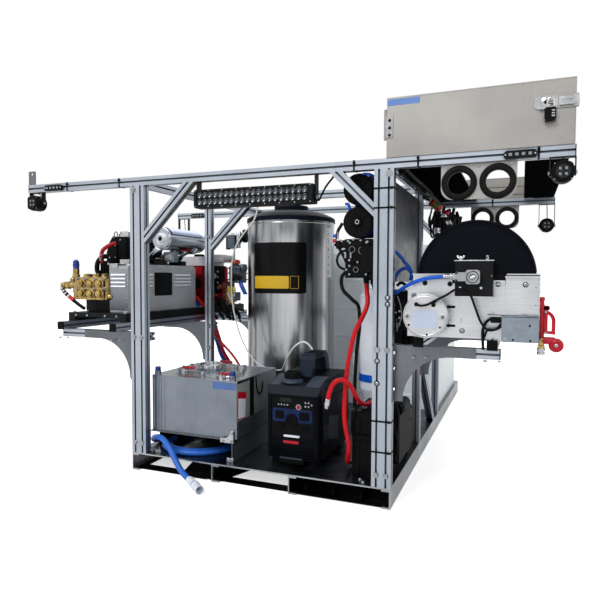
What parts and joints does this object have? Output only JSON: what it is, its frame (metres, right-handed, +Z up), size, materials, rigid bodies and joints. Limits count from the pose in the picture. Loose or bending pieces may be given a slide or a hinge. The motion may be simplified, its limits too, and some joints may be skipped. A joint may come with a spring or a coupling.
{
  "type": "pressure washing skid",
  "caption": "Slotted aluminium skid frame with pump sets, water heater, generator, fuel tank, hose reels, lamps and water tank for mobile pressure washing.",
  "frame": {"origin": "middle of the four hold-down holes, level with the underside of the base", "axes": "+Z up, +Y from the front of the skid to its water tank, +X to the right seen from the front"},
  "size_m": [2.4568, 2.6028, 1.5697],
  "materials": {
    "base_metal": "mill finish",
    "extrusion": "clear anodised",
    "sheet_metal": "brushed sheet",
    "polished_aluminium": "bright sheet",
    "cast_aluminium": "machined",
    "black_plastic": "moulded",
    "bolt_steel": "zinc plated",
    "stainless": "brushed stainless",
    "dark_enamel": "dark grey enamel",
    "black_enamel": "black powder coat",
    "black_steel": "black paint",
    "iron": "turned",
    "belt_rubber": "matte",
    "brass": "cast",
    "blue_plastic": "moulded",
    "chrome": "polished",
    "red_paint": "gloss paint",
    "red_plastic": "moulded",
    "generator_plastic": "moulded",
    "hose_rubber": "smooth",
    "lamp_housing": "black anodised",
    "tank_poly": "natural polyethylene",
    "white_plastic": "moulded",
    "blue_hose": "smooth",
    "red_hose": "smooth"
  },
  "bodies": {
    "skid": {"base_frame": "base_metal", "frame_posts": "extrusion", "top_frame": "extrusion", "shelf_rails": "extrusion", "frame_plates": "sheet_metal", "end_caps": "black_plastic", "frame_bolts": "bolt_steel", "burner_drum": "stainless", "burner_lid": "dark_enamel", "machine_frames": "black_steel", "belt_guard": "stainless", "drive_belt": "belt_rubber", "pump_crankcase": "black_steel", "pump_head": "brass", "engine_block": "black_steel", "muffler": "chrome", "red_engine": "red_paint", "tank_tray": "sheet_metal", "fuel_tank": "polished_aluminium", "generator_case": "generator_plastic", "reel_plates": "sheet_metal", "reel_cover": "black_enamel", "reel_motor": "cast_aluminium", "bearing_box": "cast_aluminium", "swivel_joint": "bolt_steel", "control_box": "cast_aluminium", "spray_nozzle": "red_paint", "small_reel_frame": "black_steel", "pole_holders": "sheet_metal", "carrier_tray": "sheet_metal", "light_brackets": "lamp_housing", "water_tank": "tank_poly", "filter_column": "white_plastic", "battery_box": "black_plastic", "transfer_pumps": "black_steel", "blue_hose_coil": "blue_hose", "blue_hose_end": "blue_hose", "hose_cuff": "white_plastic", "held_hoses": "red_hose", "red_hose_end": "red_hose"},
    "pump_wheel": {"pump_pulley": "iron"},
    "engine_wheel": {"engine_pulley": "iron"},
    "pressure_knob": {"unloader_knob": "blue_plastic"},
    "fuel_cap": {"filler_cap": "polished_aluminium"},
    "front_valve_handle": {"front_valve_lever": "red_plastic"},
    "left_valve_handle": {"left_valve_lever": "red_plastic"},
    "rear_valve_handle": {"rear_valve_lever": "red_plastic"},
    "generator_fuel_cap": {"generator_cap": "black_plastic"},
    "button": {"start_button": "red_plastic"},
    "reel": {"reel_drum": "black_enamel", "reel_hose": "hose_rubber"},
    "bail": {"nozzle_bail": "red_paint"},
    "small_upper_reel": {"small_reel_upper": "black_plastic"},
    "small_lower_reel": {"small_reel_lower": "black_plastic"},
    "door": {"carrier_door": "sheet_metal"},
    "bar_lamp": {"light_bar": "lamp_housing"},
    "front_left_lamp": {"flood_light_front_left": "lamp_housing"},
    "front_right_lamp": {"flood_light_front_right": "lamp_housing"},
    "rear_left_lamp": {"flood_light_rear_left": "lamp_housing"},
    "rear_right_lamp": {"flood_light_rear_right": "lamp_housing"}
  },
  "joints": [
    {"name": "pump_pulley_spin", "type": "hinge", "parent": "skid", "child": "pump_wheel", "pos_m": [-0.83065, -0.9192, 0.83765], "axis": [1, 0, 0], "continuous": true},
    {"name": "engine_pulley_spin", "type": "hinge", "parent": "skid", "child": "engine_wheel", "pos_m": [-0.83065, -0.6092, 0.83765], "axis": [1, 0, 0], "continuous": true},
    {"name": "pressure_knob_turn", "type": "hinge", "parent": "skid", "child": "pressure_knob", "pos_m": [-1.09265, -1.0497, 0.98255], "axis": [0, 0, 1], "continuous": true},
    {"name": "filler_cap_turn", "type": "hinge", "parent": "skid", "child": "fuel_cap", "pos_m": [-0.3434, -0.9532, 0.46055], "axis": [0, 0, 1], "range_deg": [0, 90]},
    {"name": "front_valve_turn", "type": "hinge", "parent": "skid", "child": "front_valve_handle", "pos_m": [-0.1954, -1.1112, 0.46055], "axis": [0, 0, 1], "range_deg": [0, 90]},
    {"name": "left_valve_turn", "type": "hinge", "parent": "skid", "child": "left_valve_handle", "pos_m": [-0.4514, -1.0312, 0.46055], "axis": [0, 0, 1], "range_deg": [0, 90]},
    {"name": "rear_valve_turn", "type": "hinge", "parent": "skid", "child": "rear_valve_handle", "pos_m": [-0.3774, -0.7972, 0.46055], "axis": [0, 0, 1], "range_deg": [-90, 0]},
    {"name": "generator_cap_turn", "type": "hinge", "parent": "skid", "child": "generator_fuel_cap", "pos_m": [0.13, -1.0492, 0.45455], "axis": [0, 0, 1], "range_deg": [0, 120]},
    {"name": "start_button_press", "type": "slide", "parent": "skid", "child": "button", "axis": [0, 1, 0], "range_m": [0, 0.003], "stiffness_N_per_m": 400},
    {"name": "hose_reel_spin", "type": "hinge", "parent": "skid", "child": "reel", "pos_m": [0.9056, -1.1892, 0.90265], "axis": [0, 1, 0], "continuous": true},
    {"name": "nozzle_bail_swing", "type": "hinge", "parent": "skid", "child": "bail", "pos_m": [1.1331, -1.1872, 0.73765], "axis": [0, 0, 1], "range_deg": [-60, 60]},
    {"name": "small_reel_upper_spin", "type": "hinge", "parent": "skid", "child": "small_upper_reel", "pos_m": [0.4554, -1.1692, 1.24855], "axis": [0, 1, 0], "continuous": true},
    {"name": "small_reel_lower_spin", "type": "hinge", "parent": "skid", "child": "small_lower_reel", "pos_m": [0.4554, -1.1692, 1.11855], "axis": [0, 1, 0], "continuous": true},
    {"name": "carrier_door_swing", "type": "hinge", "parent": "skid", "child": "door", "pos_m": [0.575, -1.2225, 1.44965], "axis": [0, 0, 1], "range_deg": [-120, 0]},
    {"name": "light_bar_tilt", "type": "hinge", "parent": "skid", "child": "bar_lamp", "pos_m": [0.02, -1.21215, 1.23155], "axis": [1, 0, 0], "range_deg": [-30, 30]},
    {"name": "flood_light_front_left_tilt", "type": "hinge", "parent": "skid", "child": "front_left_lamp", "pos_m": [-1.1865, -1.20015, 1.25955], "axis": [1, 0, 0], "range_deg": [-40, 40]},
    {"name": "flood_light_front_right_tilt", "type": "hinge", "parent": "skid", "child": "front_right_lamp", "pos_m": [1.1865, -1.20015, 1.25955], "axis": [1, 0, 0], "range_deg": [-40, 40]},
    {"name": "flood_light_rear_left_tilt", "type": "hinge", "parent": "skid", "child": "rear_left_lamp", "pos_m": [-1.1865, 0.08255, 1.19355], "axis": [1, 0, 0], "range_deg": [-40, 40]},
    {"name": "flood_light_rear_right_tilt", "type": "hinge", "parent": "skid", "child": "rear_right_lamp", "pos_m": [1.1865, 0.08255, 1.19355], "axis": [1, 0, 0], "range_deg": [-40, 40]}
  ],
  "couplings": [
    {"joint": "engine_pulley_spin", "follows": "pump_pulley_spin", "ratio": 2}
  ]
}
